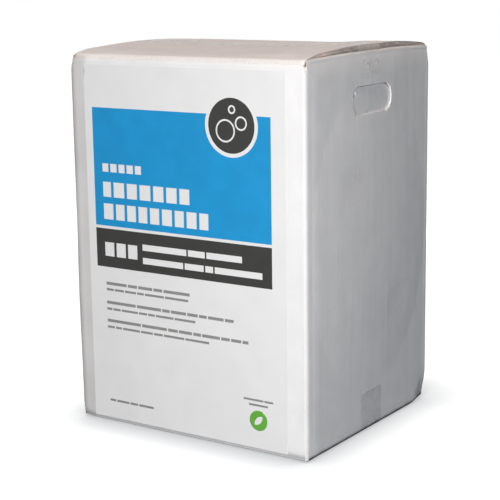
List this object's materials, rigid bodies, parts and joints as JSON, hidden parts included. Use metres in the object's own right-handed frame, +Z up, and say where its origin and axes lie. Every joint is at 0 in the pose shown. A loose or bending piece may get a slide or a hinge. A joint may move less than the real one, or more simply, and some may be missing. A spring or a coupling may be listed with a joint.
{
  "type": "washing powder box",
  "caption": "Large taped cardboard carton of washing powder with die-cut hand holes in its sides and a printed paper label on its front.",
  "frame": {"origin": "on the floor, under the middle of the case", "axes": "+X to the right of the label as it is read, +Y from the labelled front panel to the back panel, +Z up"},
  "size_m": [0.336, 0.2883, 0.4582],
  "materials": {
    "white_board": "uncoated white liner, brown at the cut edges",
    "clear_tape": "clear packing tape, slightly yellow, wrinkled",
    "label_paper": "smooth white paper",
    "blue_ink": "solid blue print on paper",
    "dark_ink": "solid dark grey print on paper",
    "green_ink": "solid green print on paper"
  },
  "bodies": {
    "root": {"carton": "white_board", "top_tape": "clear_tape", "bottom_tape": "clear_tape", "front_label": "label_paper", "label_blue_field": "blue_ink", "label_dark_band": "dark_ink", "label_badge": "dark_ink", "label_small_print": "dark_ink", "label_green_dot": "green_ink"}
  },
  "joints": []
}
